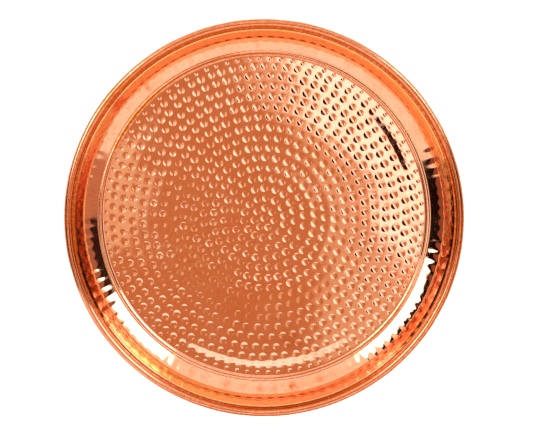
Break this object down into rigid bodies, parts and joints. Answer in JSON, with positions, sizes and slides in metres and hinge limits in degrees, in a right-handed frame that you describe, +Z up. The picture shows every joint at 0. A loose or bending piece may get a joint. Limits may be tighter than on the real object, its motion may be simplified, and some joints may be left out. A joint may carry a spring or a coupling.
{
  "type": "hammered tray",
  "caption": "Round hammered copper tray with a flat dimpled floor, a raised bead, a hollow border, a steep wall and a wired rolled rim.",
  "frame": {"origin": "middle of the tray's underside, on the surface it stands on", "axes": "+Z up along the tray's axis; X and Y across it, with no preferred direction"},
  "size_m": [0.3048, 0.3048, 0.025],
  "materials": {
    "copper": "hammered, polished and lacquered copper",
    "steel_wire": "plain drawn wire"
  },
  "bodies": {
    "root": {"tray_pan": "copper", "rim_wire": "steel_wire"}
  },
  "joints": []
}
